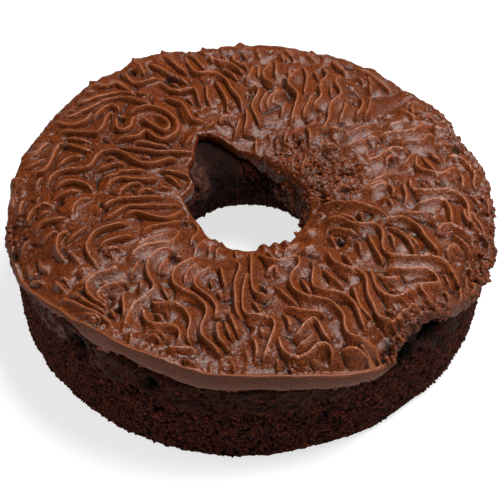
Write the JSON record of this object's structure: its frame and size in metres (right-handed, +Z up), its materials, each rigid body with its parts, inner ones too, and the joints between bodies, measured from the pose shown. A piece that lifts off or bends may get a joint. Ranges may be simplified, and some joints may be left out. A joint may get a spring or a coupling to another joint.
{
  "type": "chocolate ring cake",
  "caption": "Uncut chocolate sponge ring with a round hole through the middle and a comb-ridged layer of chocolate frosting spread over its top.",
  "frame": {"origin": "on the flat foot, under the middle of the cake's outline", "axes": "+Z up through the hole, +X to the viewer's right, -Y towards the viewer"},
  "size_m": [0.2342, 0.2342, 0.0643],
  "materials": {
    "sponge": "matte, dark chocolate sponge with an open crumb",
    "frosting": "satin, soft chocolate frosting with comb ridges"
  },
  "bodies": {
    "root": {"sponge": "sponge", "frosting": "frosting"}
  },
  "joints": []
}
